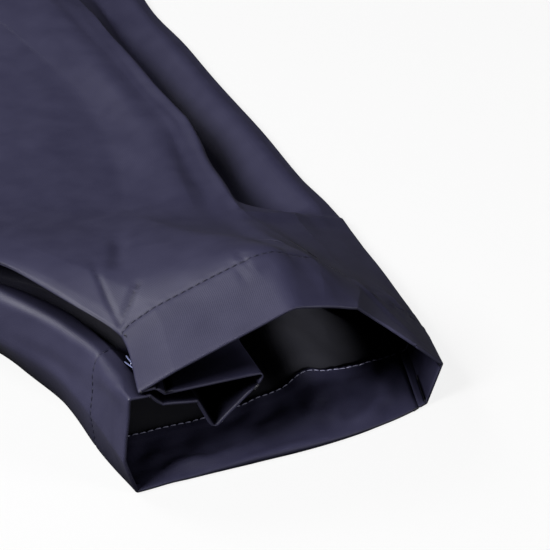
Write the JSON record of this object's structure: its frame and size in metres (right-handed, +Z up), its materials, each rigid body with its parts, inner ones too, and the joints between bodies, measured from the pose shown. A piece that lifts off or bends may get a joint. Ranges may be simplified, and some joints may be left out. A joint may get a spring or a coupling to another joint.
{
  "type": "child's rain trousers laid on a table",
  "caption": "Child's pull-on rain trousers laid flat, legs in a V, one leg end propped open with its inseam tucked in, hems turned up, elastic waist casing.",
  "frame": {"origin": "on the table, under the middle of the garment's bounding box", "axes": "+Y from the hems to the waist along the centre seam, +Z up from the table, +X towards the propped leg"},
  "size_m": [0.6134, 0.754, 0.0693],
  "materials": {
    "shell_cloth": "satin",
    "turned_cloth": "satin"
  },
  "bodies": {
    "root": {"right_front_panel": "shell_cloth", "right_back_panel": "shell_cloth", "left_front_panel": "shell_cloth", "left_back_panel": "shell_cloth", "right_hem_front": "turned_cloth", "right_hem_tuck": "turned_cloth", "right_hem_back": "turned_cloth", "right_waist_front": "turned_cloth", "right_waist_back": "turned_cloth", "left_hem_front": "turned_cloth", "left_hem_back": "turned_cloth", "left_waist_front": "turned_cloth", "left_waist_back": "turned_cloth"}
  },
  "joints": []
}
